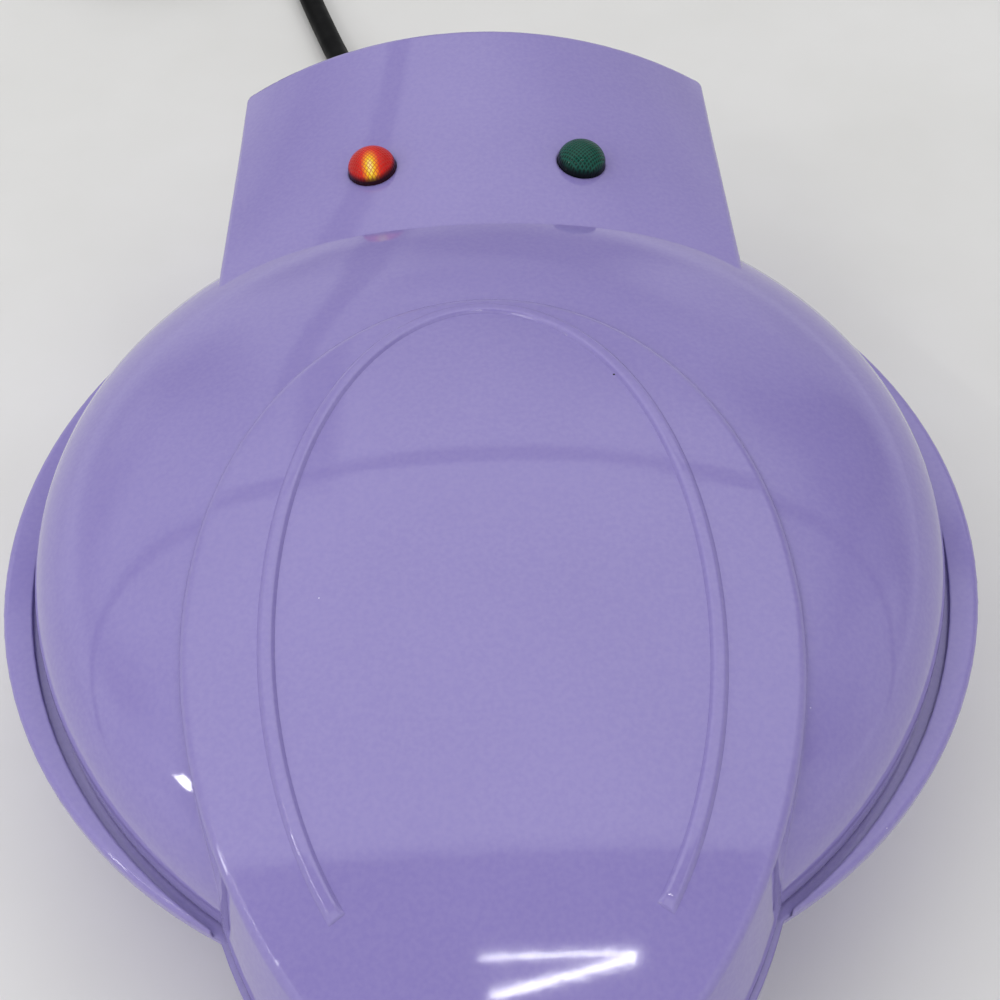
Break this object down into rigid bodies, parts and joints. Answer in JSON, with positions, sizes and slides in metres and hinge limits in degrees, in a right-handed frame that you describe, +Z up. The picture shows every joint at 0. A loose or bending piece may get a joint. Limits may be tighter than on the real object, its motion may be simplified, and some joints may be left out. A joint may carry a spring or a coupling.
{
  "type": "cake pop maker",
  "caption": "Round tabletop cake pop maker: a domed plastic clamshell with a rear hinge, a front handle and latch, round baking cavities in both plates, and a mains lead.",
  "frame": {"origin": "centre of the bounding box without the free cord, at the table under the feet", "axes": "+X to the right as the user faces the handle, -Y towards the user and the handle, +Y towards the hinge and the cord, +Z up"},
  "size_m": [0.3029, 0.7207, 0.0965],
  "materials": {
    "lilac_lid": "glossy moulded lilac plastic",
    "lilac_base": "glossy moulded lilac plastic",
    "inner_plastic": "plain moulded plastic inside the lid and base",
    "nonstick": "cast aluminium with a dark non-stick coat",
    "element_steel": "dull oxidised steel tube",
    "sheet_steel": "plated sheet steel",
    "screw_steel": "plated screws",
    "pin_steel": "plain steel pins",
    "red_lens": "clear red lens, lit from behind",
    "green_lens": "clear dark green lens, unlit",
    "lamp_glass": "small neon lamps",
    "thermostat_body": "ceramic-like thermostat body",
    "fuse_body": "metal fuse capsule on a strap",
    "terminal_plastic": "pale terminal block",
    "lead_cover": "white heat-proof sleeving",
    "black_rubber": "soft black rubber",
    "cord_cover": "smooth black flexible cord",
    "plug_plastic": "moulded black plug",
    "blade_brass": "flat brass blades"
  },
  "bodies": {
    "base": {"base_shell": "lilac_base", "lower_cooking_plate": "nonstick", "lower_heating_element": "element_steel", "lower_element_clamp": "sheet_steel", "lower_heat_shield": "sheet_steel", "lower_plate_screws": "screw_steel", "thermostat": "thermostat_body", "thermal_fuse": "fuse_body", "terminal_block": "terminal_plastic", "lower_leads": "lead_cover", "cord_clamp": "inner_plastic", "cord_clamp_screws": "screw_steel", "bottom_cover": "inner_plastic", "cover_screws": "screw_steel", "rubber_feet": "black_rubber", "hinge_pins": "pin_steel", "strain_relief": "black_rubber", "power_cord": "cord_cover", "cord_coil": "cord_cover", "plug_body": "plug_plastic", "plug_blades": "blade_brass"},
    "lid": {"lid_shell": "lilac_lid", "lid_frame": "inner_plastic", "lid_frame_screws": "screw_steel", "upper_cooking_plate": "nonstick", "upper_heating_element": "element_steel", "upper_element_clamp": "sheet_steel", "upper_heat_shield": "sheet_steel", "upper_plate_screws": "screw_steel", "power_lens": "red_lens", "ready_lens": "green_lens", "indicator_lamps": "lamp_glass", "lamp_bracket": "sheet_steel", "lamp_bracket_screws": "screw_steel", "upper_leads": "lead_cover", "latch_pin": "pin_steel"},
    "latch": {"handle_latch": "lilac_lid"}
  },
  "joints": [
    {"name": "lid_hinge", "type": "hinge", "parent": "base", "child": "lid", "pos_m": [0, 0.15795, 0.0511], "axis": [-1, 0, 0], "range_deg": [0, 100]},
    {"name": "latch_pivot", "type": "hinge", "parent": "lid", "child": "latch", "pos_m": [0, -0.15255, 0.064], "axis": [1, 0, 0], "range_deg": [0, 20]}
  ]
}
